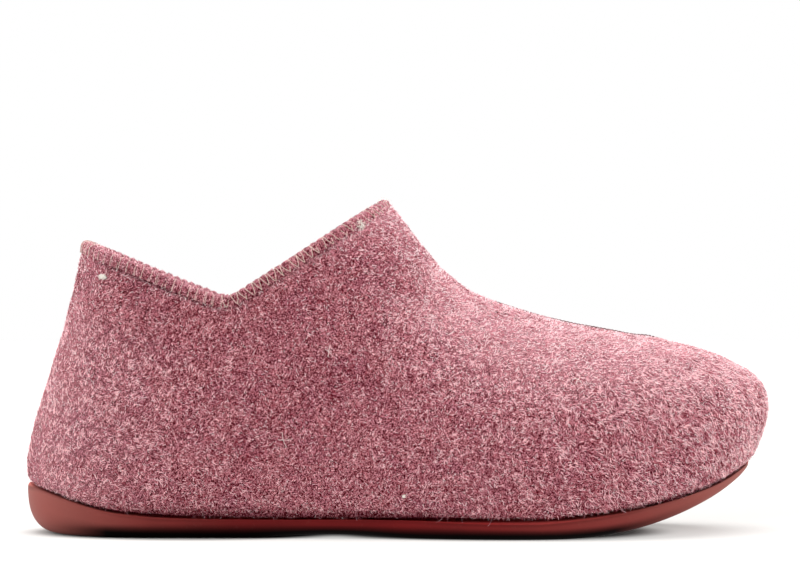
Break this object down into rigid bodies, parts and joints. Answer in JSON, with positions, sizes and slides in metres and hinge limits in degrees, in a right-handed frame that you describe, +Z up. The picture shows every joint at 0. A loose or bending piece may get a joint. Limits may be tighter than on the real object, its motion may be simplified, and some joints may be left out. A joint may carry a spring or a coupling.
{
  "type": "felt slipper boot",
  "caption": "Ankle-high slipper boot with a thick felt upper, a collar dipping at the ankle with an overlocked edge, a felt insole and a smooth moulded rubber sole.",
  "frame": {"origin": "on the floor, under the middle of the boot's box", "axes": "+X from heel to toe, +Y across towards the big-toe side, +Z up from the floor"},
  "size_m": [0.2548, 0.0951, 0.1141],
  "materials": {
    "felt": "fibrous melange felt",
    "rubber": "smooth satin",
    "insole_felt": "flat felt"
  },
  "bodies": {
    "root": {"upper": "felt", "outsole": "rubber", "insole": "insole_felt"}
  },
  "joints": []
}
